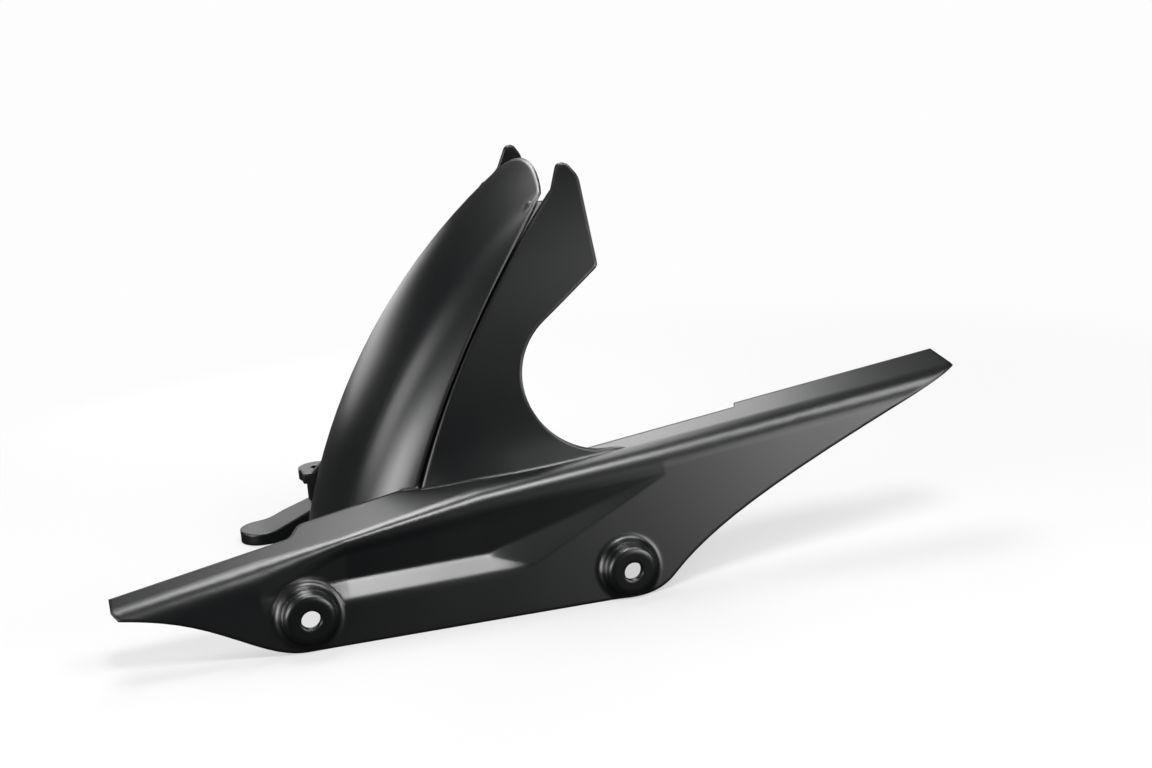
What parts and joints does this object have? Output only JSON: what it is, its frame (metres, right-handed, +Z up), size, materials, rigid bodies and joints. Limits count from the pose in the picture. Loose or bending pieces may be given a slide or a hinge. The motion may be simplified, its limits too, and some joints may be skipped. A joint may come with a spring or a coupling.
{
  "type": "motorcycle rear mudguard",
  "caption": "Moulded rear wheel mudguard with fins, round side cut-outs and an integrated chain guard with a pressed pocket and bolt bosses.",
  "frame": {"origin": "centre of the front bolt hole of the chain guard, at the outer face of its boss", "axes": "+X to the rear of the motorcycle, +Y to its right, away from the chain, +Z up"},
  "size_m": [0.4536, 0.214, 0.2177],
  "materials": {
    "moulded_abs": "satin black"
  },
  "bodies": {
    "root": {"mudguard": "moulded_abs"}
  },
  "joints": []
}
